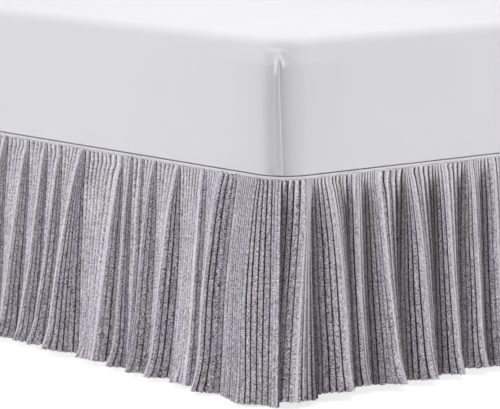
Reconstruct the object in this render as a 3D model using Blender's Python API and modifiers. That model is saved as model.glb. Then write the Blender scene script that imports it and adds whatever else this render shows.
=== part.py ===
"""Gathered bed skirt with a pleated ruffle, hanging round a twin bed.

The bed stands on the floor with its foot at -Y, its head at +Y and its sides at -X and +X. The origin is on the floor,
in the middle of the whole footprint: the ruffle stands out past the bed at the foot only, so the bed lies a little to +Y.
The skirt's deck lies between the base and the mattress. A binding runs round the deck's three open edges, and three
ruffle panels hang from it, split at the two foot corners. All sizes are in metres.
"""

import math
import random

import bmesh
import bpy
from mathutils import Vector

# The bed
BED_WIDTH = 0.990
BED_LENGTH = 1.905
BED_CORNER = 0.060
BED_SHIFT = 0.028
MATTRESS_HEIGHT = 0.244
MATTRESS_CROWN = 0.008
MATTRESS_SHOULDER = 0.034
MATTRESS_LOWER_EDGE = 0.006
MATTRESS_CROWN_STEPS = ((0.72, 0.75), (0.40, 1.0))
FIRST_INSET = 0.001
SHOULDER_STEPS = 4
LOWER_EDGE_STEPS = 2
BASE_HEIGHT = 0.229
BASE_INSET = 0.012
BASE_EDGE = 0.008
LEG_TOP_RADIUS = 0.028
LEG_FOOT_RADIUS = 0.022
LEG_SIDE_INSET = 0.095
LEG_END_INSET = 0.100
LEG_SIDES = 16
TOUCHING_GAP = 0.0003
SEAM_GAP = 0.0008

# The skirt
DROP = 0.381
HEM_LIFT = 0.012
DECK_THICK = 0.002
BINDING_HEIGHT = 0.0065
BINDING_THICK = 0.003
CLOTH_THICK = 0.002
HEAD_SETBACK = 0.020
HEAD_CORNER = 0.012
CORNER_GAP = 0.0012
CORNER_STEPS = 8
SMOOTH_BELOW = math.radians(35)
SAME_HEIGHT = 1e-6

# How the cloth opens from the seam down to the hem
FOLD_POWER = 0.50
FLARE_POWER = 0.80
SIDE_FLARE = 0.024
FOOT_FLARE = 0.010
CORNER_FLARE = 0.030
CORNER_REACH = 0.110
ROW_DROPS = (0.0, 0.06, 0.18, 0.40, 0.66, 0.90, 1.0)
MIDDLE_DROP = 0.45
STEEP_STEPS = ((0.0, 0.0), (0.5, 0.52))
GENTLE_STEPS = ((0.0, 1.0), (0.34, 0.76), (0.68, 0.36))

# Heights that follow from the sizes above
DECK_TOP = HEM_LIFT + DROP
DECK_UNDERSIDE = DECK_TOP - DECK_THICK
BASE_TOP = DECK_UNDERSIDE - TOUCHING_GAP
BASE_UNDERSIDE = BASE_TOP - BASE_HEIGHT
MATTRESS_UNDERSIDE = DECK_TOP + TOUCHING_GAP
BINDING_TOP = DECK_TOP
SEAM_HEIGHT = BINDING_TOP - BINDING_HEIGHT - SEAM_GAP
SEAM_DEPTH = -BINDING_THICK / 2

# The edge that the skirt is sewn along, from the head of the -X side, round the foot, to the head of the +X side
HALF_WIDTH = BED_WIDTH / 2
FOOT_Y = BED_SHIFT - BED_LENGTH / 2
HEAD_Y = BED_SHIFT + BED_LENGTH / 2
SIDE_RUN = BED_LENGTH - BED_CORNER - HEAD_SETBACK
FOOT_RUN = BED_WIDTH - 2 * BED_CORNER
CORNER_RUN = math.pi / 2 * BED_CORNER
FIRST_SPLIT = SIDE_RUN + CORNER_RUN / 2
SECOND_SPLIT = FIRST_SPLIT + CORNER_RUN + FOOT_RUN
EDGE_LENGTH = SECOND_SPLIT + FIRST_SPLIT
SIDE_PANEL_LENGTH = FIRST_SPLIT - CORNER_GAP / 2
FOOT_PANEL_LENGTH = SECOND_SPLIT - FIRST_SPLIT - CORNER_GAP

# Folds in millimetres along the panel from the foot corner's split: the line of the valley in front of the fold and the
# line of its crest, each at the seam, in the middle and at the hem, then how far the crest reaches out at the hem, how
# far down the fold opens, and how much lower than the rest its hem hangs
FOLD_COLUMNS = (
    "valley_seam", "valley_middle", "valley_hem", "crest_seam", "crest_middle", "crest_hem", "reach", "opens", "hang"
)
SIDE_FOLDS = (
    (0, 0, 0, 0, 0, 0, 26, 0, 12),
    (16, 14, 14, 56, 53, 40, 22, 10, 12),
    (102, 118, 124, 150, 154, 150, 30, 10, 10),
    (186, 184, 188, 198, 192, 200, 18, 6, 7),
    (262, 254, 272, 268, 278, 288, 30, 4, 7),
    (330, 322, 328, 336, 340, 346, 28, 4, 7),
    (366, 362, 366, 372, 368, 374, 14, 2, 7),
    (400, 396, 392, 406, 402, 410, 20, 4, 7),
    (428, 426, 438, 434, 438, 458, 30, 20, 5),
    (544, 542, 540, 550, 576, 596, 34, 0, 4),
    (618, 614, 632, 624, 628, 656, 26, 20, 3),
    (664, 660, 674, 670, 672, 700, 28, 8, 3),
    (722, 718, 728, 728, 736, 754, 30, 14, 3),
    (792, 792, 796, 798, 810, 822, 30, 2, 3),
)
FOOT_FOLDS = (
    (0, 0, 0, 43, 30, 26, 18, 0, 4),
    (56, 56, 62, 94, 108, 112, 28, 12, -1),
    (136, 141, 152, 160, 156, 168, 12, 20, -2),
    (178, 181, 192, 206, 212, 234, 32, 24, 1),
    (267, 258, 262, 284, 295, 308, 32, 12, 3),
    (338, 342, 346, 364, 366, 378, 28, 8, 3),
    (410, 404, 406, 432, 432, 440, 24, 12, 0),
    (456, 460, 468, 482, 482, 488, 26, 4, 3),
)

# Ranges for the folds that the tables leave out, in metres
UNSEEN_DRIFT = 0.008
UNSEEN_REACH = (0.024, 0.034)
UNSEEN_OPENS = (0.0, 0.024)
UNSEEN_HANG = (0.0, 0.005)
SIDE_PITCH = (0.050, 0.084)
SIDE_RUNS = {"seam": (0.005, 0.008), "middle": (0.012, 0.028), "hem": (0.018, 0.038)}
FOOT_PITCH = (0.052, 0.078)
FOOT_RUNS = {"seam": (0.018, 0.028), "middle": (0.022, 0.034), "hem": (0.026, 0.040)}
SIDE_SEEDS = (11, 29)
FOOT_SEED = 17
CORNER_ROWS = 2

COLOURS = {
    "ruffle": (0.42, 0.39, 0.44, 1.0),
    "binding": (0.78, 0.77, 0.82, 1.0),
    "deck": (0.76, 0.76, 0.78, 1.0),
    "sheet": (0.82, 0.82, 0.84, 1.0),
    "base": (0.60, 0.59, 0.58, 1.0),
    "leg": (0.10, 0.07, 0.05, 1.0),
}
ROUGHNESS = {"ruffle": 0.55, "binding": 0.8, "deck": 0.9, "sheet": 0.85, "base": 0.9, "leg": 0.45}
METALLIC = {"ruffle": 0.25}


def clear_scene():
    for thing in list(bpy.data.objects):
        bpy.data.objects.remove(thing, do_unlink=True)


def make_material(name):
    material = bpy.data.materials.new(name)
    material.use_nodes = True
    shader = material.node_tree.nodes["Principled BSDF"]
    shader.inputs["Base Color"].default_value = COLOURS[name]
    shader.inputs["Roughness"].default_value = ROUGHNESS[name]
    shader.inputs["Metallic"].default_value = METALLIC.get(name, 0.0)
    return material


def add_object(name, shape, material, parts, smooth=False):
    """A named object of a bmesh, with its material, in the collection of parts."""
    mesh = bpy.data.meshes.new(name)
    shape.to_mesh(mesh)
    shape.free()
    mesh.materials.append(material)
    if smooth:
        mesh.shade_smooth()
        mesh.set_sharp_from_angle(angle=SMOOTH_BELOW)
    piece = bpy.data.objects.new(name, mesh)
    parts.objects.link(piece)
    return piece


def edge_point(distance, out):
    """A place in plan along the sewn edge, moved outwards from it."""
    if distance > EDGE_LENGTH / 2:
        mirrored = edge_point(EDGE_LENGTH - distance, out)
        return Vector((-mirrored.x, mirrored.y))
    if distance <= SIDE_RUN:
        return Vector((-HALF_WIDTH - out, HEAD_Y - HEAD_SETBACK - distance))
    past_side = distance - SIDE_RUN
    if past_side >= CORNER_RUN:
        return Vector((BED_CORNER - HALF_WIDTH + past_side - CORNER_RUN, FOOT_Y - out))
    turn = past_side / BED_CORNER
    centre = Vector((BED_CORNER - HALF_WIDTH, FOOT_Y + BED_CORNER))
    return centre + (BED_CORNER + out) * Vector((-math.cos(turn), -math.sin(turn)))


def fold_rows(table):
    """The rows of a fold table by column name, in metres."""
    return [{name: value / 1000 for name, value in zip(FOLD_COLUMNS, row)} for row in table]


def unseen_fold(place, runs, draw):
    """A fold like those of the tables, whose valley starts at a place along the seam."""
    fold = {
        "reach": draw.uniform(*UNSEEN_REACH),
        "opens": draw.uniform(*UNSEEN_OPENS),
        "hang": draw.uniform(*UNSEEN_HANG),
    }
    drift = draw.uniform(-UNSEEN_DRIFT, UNSEEN_DRIFT)
    for level, share in (("seam", 0.0), ("middle", 0.5), ("hem", 1.0)):
        fold[f"valley_{level}"] = place + drift * share
        fold[f"crest_{level}"] = fold[f"valley_{level}"] + draw.uniform(*runs[level])
    return fold


def carry_on(folds, end, pitch, runs, seed):
    """More folds of the same kind, unevenly spaced, from the last one given to the panel's end."""
    draw = random.Random(seed)
    folds = list(folds)
    place = folds[-1]["valley_seam"] + draw.uniform(*pitch)
    while end - place > pitch[0]:
        folds.append(unseen_fold(place, runs, draw))
        place += draw.uniform(*pitch)
    return folds


def side_folds(number):
    """The first side's folds show. The second side has only its corner in common with it."""
    table = SIDE_FOLDS if number == 0 else SIDE_FOLDS[:CORNER_ROWS]
    return carry_on(fold_rows(table), SIDE_PANEL_LENGTH, SIDE_PITCH, SIDE_RUNS, SIDE_SEEDS[number])


def foot_folds():
    return carry_on(fold_rows(FOOT_FOLDS), FOOT_PANEL_LENGTH, FOOT_PITCH, FOOT_RUNS, FOOT_SEED)


def line_place(fold, line, drop):
    """How far along the panel a fold's valley or crest lies, on a curve through its three places."""
    seam, middle, hem = (fold[f"{line}_{level}"] for level in ("seam", "middle", "hem"))
    at_seam = (drop - MIDDLE_DROP) * (drop - 1) / MIDDLE_DROP
    at_middle = drop * (drop - 1) / (MIDDLE_DROP * (MIDDLE_DROP - 1))
    at_hem = drop * (drop - MIDDLE_DROP) / (1 - MIDDLE_DROP)
    return seam * at_seam + middle * at_middle + hem * at_hem


def opening_share(fold, drop):
    """How much of its reach a fold has at a share of the drop."""
    start = fold["opens"] / DROP
    return max(0.0, (drop - start) / (1 - start)) ** FOLD_POWER


def panel_columns(folds):
    """A fold's number, its side and its step for each column of the panel, with the panel's last edge."""
    columns = []
    for index, fold in enumerate(folds):
        if fold["crest_hem"] > fold["valley_hem"]:
            columns += [(index, "steep", step) for step in STEEP_STEPS]
        columns += [(index, "gentle", step) for step in GENTLE_STEPS]
    return columns + [(len(folds) - 1, "end", (1.0, 0.0))]


def hem_flare(along, corners, flare):
    """How far out the valleys stand at the hem: more towards a split corner."""
    nearest = min(abs(along - corner) for corner in corners)
    near = max(0.0, 1 - nearest / CORNER_REACH)
    return flare + (CORNER_FLARE - flare) * near * near * (3 - 2 * near)


def ruffle_point(folds, column, drop, end, corners, flare):
    """Distance along the panel, distance out and height of a column of the ruffle, at a share of the drop."""
    index, side, (step, height) = column
    fold = folds[index]
    valley = line_place(fold, "valley", drop)
    crest = line_place(fold, "crest", drop)
    if side == "steep":
        along = valley + (crest - valley) * step
    else:
        last = index + 1 == len(folds)
        next_valley = end if last else line_place(folds[index + 1], "valley", drop)
        along = crest + (next_valley - crest) * step
    out = hem_flare(along, corners, flare) * drop**FLARE_POWER
    out += fold["reach"] * opening_share(fold, drop) * height
    length = (SEAM_HEIGHT - HEM_LIFT + fold["hang"]) * drop
    return along, out, SEAM_HEIGHT - length + out * out / (2 * DROP)


def make_ruffle(name, folds, end, corners, flare, to_edge, material, parts):
    """A hanging panel: a grid of columns and rows, laid on its folds and given the cloth's thickness."""
    columns = panel_columns(folds)
    across = len(columns) - 1
    down = len(ROW_DROPS) - 1
    shape = bmesh.new()
    bmesh.ops.create_grid(shape, x_segments=across, y_segments=down, size=1.0)
    for vertex in shape.verts:
        column = columns[round((vertex.co.x + 1) / 2 * across)]
        drop = ROW_DROPS[round((1 - vertex.co.y) / 2 * down)]
        along, out, height = ruffle_point(folds, column, drop, end, corners, flare)
        place = edge_point(to_edge(along), SEAM_DEPTH + out)
        vertex.co = (place.x, place.y, height)
    if to_edge(end) < to_edge(0.0):
        bmesh.ops.reverse_faces(shape, faces=shape.faces)
    piece = add_object(name, shape, material, parts)
    thicken(piece, CLOTH_THICK)
    return piece


def thicken(piece, thickness):
    solidify = piece.modifiers.new("Thickness", "SOLIDIFY")
    solidify.thickness = thickness
    solidify.offset = 0.0
    solidify.use_even_offset = True
    solidify.thickness_clamp = 0.0


def make_ruffles(material, parts):
    """The three panels. Each one's folds run from the split at a foot corner."""
    half_gap = CORNER_GAP / 2
    from_splits = (lambda along: FIRST_SPLIT - half_gap - along, lambda along: SECOND_SPLIT + half_gap + along)
    for number, to_edge in enumerate(from_splits):
        make_ruffle(
            f"ruffle_side_{number + 1}",
            side_folds(number),
            SIDE_PANEL_LENGTH,
            (0.0,),
            SIDE_FLARE,
            to_edge,
            material,
            parts,
        )
    make_ruffle(
        "ruffle_foot",
        foot_folds(),
        FOOT_PANEL_LENGTH,
        (0.0, FOOT_PANEL_LENGTH),
        FOOT_FLARE,
        lambda along: FIRST_SPLIT + half_gap + along,
        material,
        parts,
    )


def binding_stations():
    """Distances along the sewn edge: the ends of the straight runs, and steps round each corner."""
    first = [SIDE_RUN + CORNER_RUN * step / CORNER_STEPS for step in range(CORNER_STEPS + 1)]
    second = [EDGE_LENGTH - place for place in reversed(first)]
    return [0.0, *first, *second, EDGE_LENGTH]


def make_binding(material, parts):
    """The pale strip between the deck's edge and the ruffle."""
    stations = binding_stations()
    across = len(stations) - 1
    shape = bmesh.new()
    bmesh.ops.create_grid(shape, x_segments=across, y_segments=1, size=1.0)
    for vertex in shape.verts:
        place = edge_point(stations[round((vertex.co.x + 1) / 2 * across)], SEAM_DEPTH)
        height = BINDING_TOP if vertex.co.y > 0 else BINDING_TOP - BINDING_HEIGHT
        vertex.co = (place.x, place.y, height)
    piece = add_object("binding", shape, material, parts)
    thicken(piece, BINDING_THICK)
    return piece


def upright_edges(shape, at_foot):
    """The vertical edges of a box, at its foot end or at its head end."""
    found = []
    for edge in shape.edges:
        first, second = (vertex.co for vertex in edge.verts)
        if abs(first.z - second.z) > abs(first.x - second.x) + abs(first.y - second.y):
            if (first.y < 0) == at_foot:
                found.append(edge)
    return found


def rim_edges(shape, height):
    """The edges round a box's face at one height."""
    return [
        edge
        for edge in shape.edges
        if all(abs(vertex.co.z - height) < SAME_HEIGHT for vertex in edge.verts) and len(edge.link_faces) == 2
    ]


def round_edges(shape, edges, radius, segments):
    bmesh.ops.bevel(
        shape,
        geom=edges,
        offset=radius,
        segments=segments,
        profile=0.5,
        affect="EDGES",
        clamp_overlap=True,
    )


def rounded_slab(half_width, low_y, high_y, low_z, high_z, foot_radius, head_radius):
    """A box with its upright edges rounded, its foot end and its head end each by their own radius."""
    shape = bmesh.new()
    bmesh.ops.create_cube(shape, size=1.0)
    for vertex in shape.verts:
        vertex.co.x *= 2 * half_width
        vertex.co.y = low_y if vertex.co.y < 0 else high_y
        vertex.co.z = low_z if vertex.co.z < 0 else high_z
    round_edges(shape, upright_edges(shape, True), foot_radius, CORNER_STEPS)
    round_edges(shape, upright_edges(shape, False), head_radius, CORNER_STEPS)
    return shape


def make_deck(material, parts):
    inset = BINDING_THICK + TOUCHING_GAP
    shape = rounded_slab(
        HALF_WIDTH - inset,
        FOOT_Y + inset,
        HEAD_Y - HEAD_SETBACK,
        DECK_UNDERSIDE,
        DECK_TOP,
        BED_CORNER - inset,
        HEAD_CORNER,
    )
    return add_object("deck", shape, material, parts)


def make_mattress(material, parts):
    """The mattress in its fitted sheet, with soft shoulders and a slight crown."""
    shoulder_top = MATTRESS_UNDERSIDE + MATTRESS_HEIGHT - MATTRESS_CROWN
    shape = rounded_slab(
        HALF_WIDTH,
        FOOT_Y,
        HEAD_Y,
        MATTRESS_UNDERSIDE,
        shoulder_top,
        BED_CORNER,
        BED_CORNER,
    )
    round_edges(shape, rim_edges(shape, MATTRESS_UNDERSIDE), MATTRESS_LOWER_EDGE, LOWER_EDGE_STEPS)
    round_edges(shape, rim_edges(shape, shoulder_top), MATTRESS_SHOULDER, SHOULDER_STEPS)
    crown_top(shape, shoulder_top)
    return add_object("mattress", shape, material, parts, smooth=True)


def crown_top(shape, shoulder_top):
    """The top face drawn in and raised in steps, each a share of its size and of the crown's rise."""
    top = max(shape.faces, key=lambda face: face.calc_center_median().z)
    size = 1.0
    for share, rise in MATTRESS_CROWN_STEPS:
        bmesh.ops.inset_individual(shape, faces=[top], thickness=FIRST_INSET)
        for vertex in top.verts:
            vertex.co.x *= share / size
            vertex.co.y = BED_SHIFT + (vertex.co.y - BED_SHIFT) * share / size
            vertex.co.z = shoulder_top + MATTRESS_CROWN * rise
        size = share


def make_base(material, parts):
    """The plain sprung base under the deck."""
    shape = rounded_slab(
        HALF_WIDTH - BASE_INSET,
        FOOT_Y + BASE_INSET,
        HEAD_Y - BASE_INSET,
        BASE_UNDERSIDE,
        BASE_TOP,
        BED_CORNER - BASE_INSET,
        BED_CORNER - BASE_INSET,
    )
    round_edges(shape, rim_edges(shape, BASE_UNDERSIDE), BASE_EDGE, LOWER_EDGE_STEPS)
    return add_object("base", shape, material, parts, smooth=True)


def make_leg(name, x, y, material, parts):
    height = BASE_UNDERSIDE - TOUCHING_GAP
    shape = bmesh.new()
    bmesh.ops.create_cone(
        shape,
        cap_ends=True,
        segments=LEG_SIDES,
        radius1=LEG_FOOT_RADIUS,
        radius2=LEG_TOP_RADIUS,
        depth=height,
    )
    leg = add_object(name, shape, material, parts, smooth=True)
    leg.location = (x, y, height / 2)
    return leg


def make_legs(material, parts):
    """Two legs at the foot, two halfway and two at the head."""
    side = HALF_WIDTH - LEG_SIDE_INSET
    rows = (FOOT_Y + LEG_END_INSET, BED_SHIFT, HEAD_Y - LEG_END_INSET)
    places = [(x, y) for y in rows for x in (-side, side)]
    for number, (x, y) in enumerate(places, start=1):
        make_leg(f"leg_{number}", x, y, material, parts)


def main():
    clear_scene()
    parts = bpy.data.collections.new("bed_skirt")
    bpy.context.scene.collection.children.link(parts)
    make_mattress(make_material("sheet"), parts)
    make_deck(make_material("deck"), parts)
    make_binding(make_material("binding"), parts)
    make_ruffles(make_material("ruffle"), parts)
    make_base(make_material("base"), parts)
    make_legs(make_material("leg"), parts)


main()
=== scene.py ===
"""A gathered bed skirt of finely pleated glitter cloth on a twin bed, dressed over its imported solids.

Sizes are in metres. The bed's foot is at -Y and its head at +Y. The corner that the camera faces is at -X
and -Y.
"""

import math
import random

import bmesh
import bpy
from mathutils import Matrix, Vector, noise


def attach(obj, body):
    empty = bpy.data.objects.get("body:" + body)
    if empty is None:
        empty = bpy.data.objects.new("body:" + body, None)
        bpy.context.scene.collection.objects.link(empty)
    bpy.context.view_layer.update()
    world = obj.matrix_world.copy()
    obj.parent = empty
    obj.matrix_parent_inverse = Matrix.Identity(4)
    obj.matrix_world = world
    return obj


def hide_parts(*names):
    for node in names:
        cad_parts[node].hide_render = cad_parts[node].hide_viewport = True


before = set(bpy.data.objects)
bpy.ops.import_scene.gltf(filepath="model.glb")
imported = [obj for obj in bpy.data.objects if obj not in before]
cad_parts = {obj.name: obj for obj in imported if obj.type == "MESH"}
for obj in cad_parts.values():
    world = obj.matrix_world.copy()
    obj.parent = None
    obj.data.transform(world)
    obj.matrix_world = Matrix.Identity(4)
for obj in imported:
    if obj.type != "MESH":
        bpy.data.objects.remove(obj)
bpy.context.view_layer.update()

# The bed and the skirt, as the solids have them
BED_WIDTH = 0.990
BED_LENGTH = 1.905
BED_CORNER = 0.060
BED_SHIFT = 0.028
MATTRESS_HEIGHT = 0.244
MATTRESS_CROWN = 0.008
SHEET_SHOULDER = 0.022
SHEET_LEAN = 0.007
SHEET_LEAN_REACH = 0.090
MATTRESS_LOWER_EDGE = 0.006
MATTRESS_UNDER_INSET = 0.030
DROP = 0.381
HEM_LIFT = 0.012
DECK_THICK = 0.002
TOUCHING_GAP = 0.0003
SEAM_GAP = 0.0008
BINDING_HEIGHT = 0.0065
BINDING_THICK = 0.003
HEAD_SETBACK = 0.020
CORNER_GAP = 0.0012

DECK_TOP = HEM_LIFT + DROP
MATTRESS_UNDERSIDE = DECK_TOP + TOUCHING_GAP
SEAM_HEIGHT = DECK_TOP - BINDING_HEIGHT - SEAM_GAP
SEAM_DEPTH = -BINDING_THICK / 2
HALF_WIDTH = BED_WIDTH / 2
FOOT_Y = BED_SHIFT - BED_LENGTH / 2
HEAD_Y = BED_SHIFT + BED_LENGTH / 2
SIDE_RUN = BED_LENGTH - BED_CORNER - HEAD_SETBACK
FOOT_RUN = BED_WIDTH - 2 * BED_CORNER
CORNER_RUN = math.pi / 2 * BED_CORNER
FIRST_SPLIT = SIDE_RUN + CORNER_RUN / 2
SECOND_SPLIT = FIRST_SPLIT + CORNER_RUN + FOOT_RUN
EDGE_LENGTH = SECOND_SPLIT + FIRST_SPLIT
SIDE_PANEL_LENGTH = FIRST_SPLIT - CORNER_GAP / 2
FOOT_PANEL_LENGTH = SECOND_SPLIT - FIRST_SPLIT - CORNER_GAP

# How the cloth opens from the seam down to the hem
FOLD_POWER = 0.50
FLARE_POWER = 0.80
SIDE_FLARE = 0.024
FOOT_FLARE = 0.010
CORNER_FLARE = 0.030
CORNER_REACH = 0.110
MIDDLE_DROP = 0.45
STEEP_EASE = 0.25
GENTLE_POWER = 1.15

# Folds in millimetres along the panel from the foot corner's split: the line of the valley in front of the
# fold and the line of its crest, each at the seam, in the middle and at the hem, then how far the crest
# reaches out at the hem, how far down the fold opens, and how much lower than the rest its hem hangs
FOLD_COLUMNS = (
    "valley_seam", "valley_middle", "valley_hem",
    "crest_seam", "crest_middle", "crest_hem",
    "reach", "opens", "hang",
)
SIDE_FOLDS = (
    (0, 0, 0, 0, 0, 0, 26, 0, 12),
    (16, 14, 14, 56, 53, 40, 22, 10, 12),
    (102, 118, 124, 150, 154, 150, 30, 10, 10),
    (186, 184, 188, 198, 192, 200, 18, 6, 7),
    (262, 254, 272, 268, 278, 288, 30, 4, 7),
    (330, 322, 328, 336, 340, 346, 28, 4, 7),
    (366, 362, 366, 372, 368, 374, 14, 2, 7),
    (400, 396, 392, 406, 402, 410, 20, 4, 7),
    (428, 426, 438, 434, 438, 458, 30, 20, 5),
    (544, 542, 540, 550, 576, 596, 34, 0, 4),
    (618, 614, 632, 624, 628, 656, 26, 20, 3),
    (664, 660, 674, 670, 672, 700, 28, 8, 3),
    (722, 718, 728, 728, 736, 754, 30, 14, 3),
    (792, 792, 796, 798, 810, 822, 30, 2, 3),
)
FOOT_FOLDS = (
    (0, 0, 0, 43, 30, 26, 18, 0, 4),
    (56, 56, 62, 94, 108, 112, 28, 12, -1),
    (136, 141, 152, 160, 156, 168, 12, 20, -2),
    (178, 181, 192, 206, 212, 234, 32, 24, 1),
    (267, 258, 262, 284, 295, 308, 32, 12, 3),
    (338, 342, 346, 364, 366, 378, 28, 8, 3),
    (410, 404, 406, 432, 432, 440, 24, 12, 0),
    (456, 460, 468, 482, 482, 488, 26, 4, 3),
)

# The folds that the photo doesn't show, drawn at random between these limits
UNSEEN_DRIFT = 0.008
UNSEEN_REACH = (0.024, 0.034)
UNSEEN_OPENS = (0.0, 0.024)
UNSEEN_HANG = (0.0, 0.005)
SIDE_PITCH = (0.050, 0.084)
SIDE_RUNS = {"seam": (0.005, 0.008), "middle": (0.012, 0.028), "hem": (0.018, 0.038)}
FOOT_PITCH = (0.052, 0.078)
FOOT_RUNS = {"seam": (0.018, 0.028), "middle": (0.022, 0.034), "hem": (0.026, 0.040)}
SIDE_SEEDS = (11, 29)
FOOT_SEED = 17
CORNER_ROWS = 2

# The fine pleats: for each of a pleat's columns, its share of the pleat's width, its rise as a share of the
# pleat's depth, its rise in the gathers under the seam, and how strongly a painted highlight lightens it in
# both
PLEAT_PITCH = 0.0105
PLEAT_DEPTH = 0.0032
PLEAT_UNEVEN = 0.24
PLEAT_COLUMNS = (
    (0.0, -1.0, -1.0, 0.0, 0.0),
    (0.09, -0.9, -1.0, 0.0, 0.0),
    (0.19, 0.5, 0.4, 1.0, 0.8),
    (0.33, 0.35, 0.9, 0.1, 1.0),
    (0.58, 0.0, 0.3, 0.0, 0.0),
    (0.84, 0.05, -0.4, 0.0, 0.0),
)
PLEAT_DEPTHS = (0.45, 1.3)
PLEAT_STEEPEST = 0.16
GATHER_DEPTH = 0.0022
GATHER_REACH = 0.09
PLEAT_SEEDS = {"ruffle_side_1": 3, "ruffle_foot": 5, "ruffle_side_2": 8}
CLOTH_ROWS = 30
ROW_CROWDING = 0.85
CLOTH_THICK = 0.0008
DRAPE_SOFTNESS = 0.0022
DRAPE_WAVES_ALONG = 16
DRAPE_WAVES_DOWN = 3.1
DRAPE_START = 6
HEM_UNEVEN = 0.0010
HEM_RAGGED = 0.0012
CORNER_TUCK = 0.012
TOP_LAP = (0.0010, 0.0032)
GATHERED_LAP = 0.3
TOP_STANDOFF = 0.0022
TOP_STANDOFF_REACH = 0.025

# How much light the cloth loses on each flank of a fold, at its crest and at its valley, as painted shade
SIDE_LOSSES = {"steep": (0.41, 0.56), "gentle": (0.0, 0.12)}
FOOT_LOSSES = {"steep": (0.20, 0.92), "gentle": (0.50, 1.00)}

# How strongly the painted shade in the pleats' creases and the painted highlights on their ridges show on
# each flank, near the seam and at the hem
SIDE_CREASE_SHADE = {"steep": (0.9, 0.65), "gentle": (0.9, 0.55)}
SIDE_RIDGE_HIGHLIGHTS = {"steep": (0.4, 0.15), "gentle": (0.7, 0.15)}
FOOT_CREASE_SHADE = {"steep": (1.3, 0.7), "gentle": (1.6, 1.2)}
FOOT_RIDGE_HIGHLIGHTS = {"steep": (1.6, 0.3), "gentle": (2.0, 0.6)}

# How the painted ridge highlights dull in the valleys, the painted highlight along each crest, and how the
# painted shade starts at the seam
VALLEY_HIGHLIGHT_DULLING = 1.4
CREST_LINE_HIGHLIGHT = 1.5
CREST_LINE_START = 0.965
CREST_LINE_WIDE = 0.035
SEAM_LOSS_SHARE = 2 / 3
LOSS_REACH = 0.15

# How the painted crease shade, the painted ridge highlights and the painted fold shade change round the
# foot corner
CORNER_CREASE_SHADE = 1.0
CORNER_RIDGE_HIGHLIGHTS = 0.30
CORNER_MARKS_REACH = (0.10, 0.20)
CORNER_LOSS = 0.30
CORNER_LOSS_REACH = (0.055, 0.115)
SIDE_EVENED = 0.8

# Where the hem kicks out: millimetres along the panel at the hem, half its width, how far up it starts and
# how far out it goes
KICK_COLUMNS = ("place", "wide", "rise", "out")
SIDE_KICKS = (
    (40, 18, 50, 5),
    (150, 14, 75, 13),
    (232, 12, 55, 14),
    (288, 12, 60, 12),
    (346, 10, 50, 10),
    (410, 12, 65, 14),
    (505, 13, 60, 18),
    (596, 14, 60, 12),
    (656, 12, 55, 10),
    (700, 11, 50, 9),
    (754, 13, 60, 12),
    (822, 13, 55, 10),
)
FOOT_KICKS = (
    (112, 13, 65, 9),
    (168, 11, 45, 6),
    (234, 13, 75, 12),
    (308, 13, 65, 11),
    (378, 12, 55, 10),
    (440, 12, 50, 10),
    (488, 12, 50, 8),
)

# The fitted sheet, round the mattress. Places are millimetres from a corner's middle along the edge,
# towards the foot at the corner that the camera faces, and millimetres down from where the flat top ends
FINE_PLACES = (-19, 7)
COARSE_PLACES = (-44, -38, -33, -29, -26, -23.5, -21, 9, 11, 14, 18, 23, 29, 36, 44)
SHEET_STEP = 0.025
SHEET_LOW_ROWS = 13
SHEET_HIGH_ROWS = 22
SHEET_HIGH_REACH = 0.066
SHEET_SHOULDER_ROWS = 10
SHEET_EDGE_ROWS = 4
SHEET_TOP_SHARES = (0.985, 0.95, 0.88, 0.78, 0.64, 0.48, 0.30, 0.14)
SHEET_SOFTNESS = 0.0012
SHEET_SIDE_WAVES = 7.0
SHEET_TOP_WAVES = 5.0
FLAP_TOP = 0.064
FLAP_LEFT = (-0.0135, -0.0120)
FLAP_RIGHT = (-0.0050, 0.0012)
FLAP_RISE = 0.0022
FLAP_START = 0.012
FLAP_LEFT_SOFT = 0.0030
FLAP_RIGHT_OUT = 0.0008
FLAP_RIGHT_WIDE = 0.0018
# Painted shade on and beside the flap, and a painted highlight along its right edge
FLAP_SHADES = ((0.68, 0.009), (0.32, 0.090))
FLAP_PAINTED_SHADE = 0.8
FLAP_EDGE_PAINTED_HIGHLIGHT = 0.7
FLAP_EDGE = 0.001
FLAP_EDGE_WIDE = 0.0012
TROUGH_AWAY = 0.007
TROUGH_HALF = 0.013
TROUGH_DEPTH = 0.0022
CREASE_COLUMNS = ("from_along", "from_down", "to_along", "to_down", "wide", "rise")
SHEET_CREASES = (
    (-30, 33, 6, 34, 2.2, 1.8),
    (-17, 36, -8, 47, 1.8, 1.2),
    (-9, 36, 4, 57, 2.4, 2.0),
    (2, 53, 0, 66, 2.6, 1.0),
    (-10, 48, -12, 74, 2.6, 2.0),
    (-5, 50, -4, 66, 2.4, -1.8),
    (8, 46, 22, 60, 4.0, -0.8),
    (-24, 46, -34, 70, 5.0, -0.6),
)
# How far a sheet crease rises or sinks before its painted highlight or painted shade is full
CREASE_LIGHT_AND_SHADE_RELIEF = 0.0028
CREASE_TAPER = 0.3
SHEET_WRINKLES = (
    (395, 70, 445, 78, 4.0, 0.5),
    (410, 96, 470, 92, 4.0, 0.5),
    (400, 120, 455, 126, 4.0, 0.4),
    (-520, 60, -470, 72, 5.0, 0.4),
    (-330, 150, -260, 158, 6.0, 0.4),
)

# The binding's strip and the deck's cloth
STRIP_STEP = 0.006
STRIP_ROWS = 4
STRIP_THICK = 0.0022
STRIP_BULGE = 0.0005
STRIP_PUCKER = 0.0003
STRIP_SEED = 21
DECK_HEM = 0.012
DECK_CORNER = 0.057
DECK_SIDE_INSET = 0.0033
DECK_CORNER_STEPS = 8
DECK_HEM_FOLD = (0.0, -0.0005, -0.0007)
DECK_CLOTH_THICK = 0.0005
EDGE_MARGIN = 0.0001

# The camera, set to the photograph's view
CAMERA_PLACE = (-3.68059, -4.71166, 1.08931)
CAMERA_TURN = 39.469
CAMERA_DIP = 8.504
CAMERA_LENS = 212.655
SENSOR_WIDTH = 36.0
CAMERA_REACH = 60.0

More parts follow.
